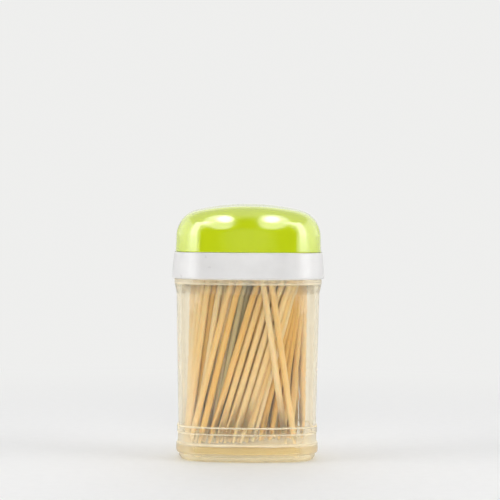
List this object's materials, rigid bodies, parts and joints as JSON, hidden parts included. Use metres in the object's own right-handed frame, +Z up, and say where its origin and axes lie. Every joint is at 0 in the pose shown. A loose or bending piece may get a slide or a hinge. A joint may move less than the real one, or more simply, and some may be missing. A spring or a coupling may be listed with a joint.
{
  "type": "toothpick dispenser",
  "caption": "Table toothpick dispenser: clear pillow-shaped jar with a pull-off white collar, a hinged green domed lid and leaning wooden toothpicks inside.",
  "frame": {"origin": "under the middle of the jar's foot, on the surface that it stands on", "axes": "+Z up, the front with the lid's free edge faces -Y, the hinge is at the back on +Y, +X to the right seen from the front"},
  "size_m": [0.0458, 0.0355, 0.0765],
  "materials": {
    "clear_plastic": "clear, polished",
    "white_plastic": "semi-gloss, opaque white",
    "lime_plastic": "glossy, opaque lime green",
    "toothpick_wood": "bare, fine straight grain"
  },
  "bodies": {
    "jar": {"jar": "clear_plastic", "toothpick_row_01": "toothpick_wood", "toothpick_row_02": "toothpick_wood", "toothpick_row_03": "toothpick_wood", "toothpick_row_04": "toothpick_wood", "toothpick_row_05": "toothpick_wood", "toothpick_row_06": "toothpick_wood", "toothpick_row_07": "toothpick_wood", "toothpick_row_08": "toothpick_wood", "toothpick_row_09": "toothpick_wood", "toothpick_row_10": "toothpick_wood"},
    "collar": {"collar": "white_plastic"},
    "lid": {"lid": "lime_plastic"}
  },
  "joints": [
    {"name": "collar_lift", "type": "slide", "parent": "jar", "child": "collar", "axis": [0, 0, 1], "range_m": [0, 0.02]},
    {"name": "lid_hinge", "type": "hinge", "parent": "collar", "child": "lid", "pos_m": [0, 0.01645, 0.0639], "axis": [-1, 0, 0], "range_deg": [0, 110]}
  ]
}
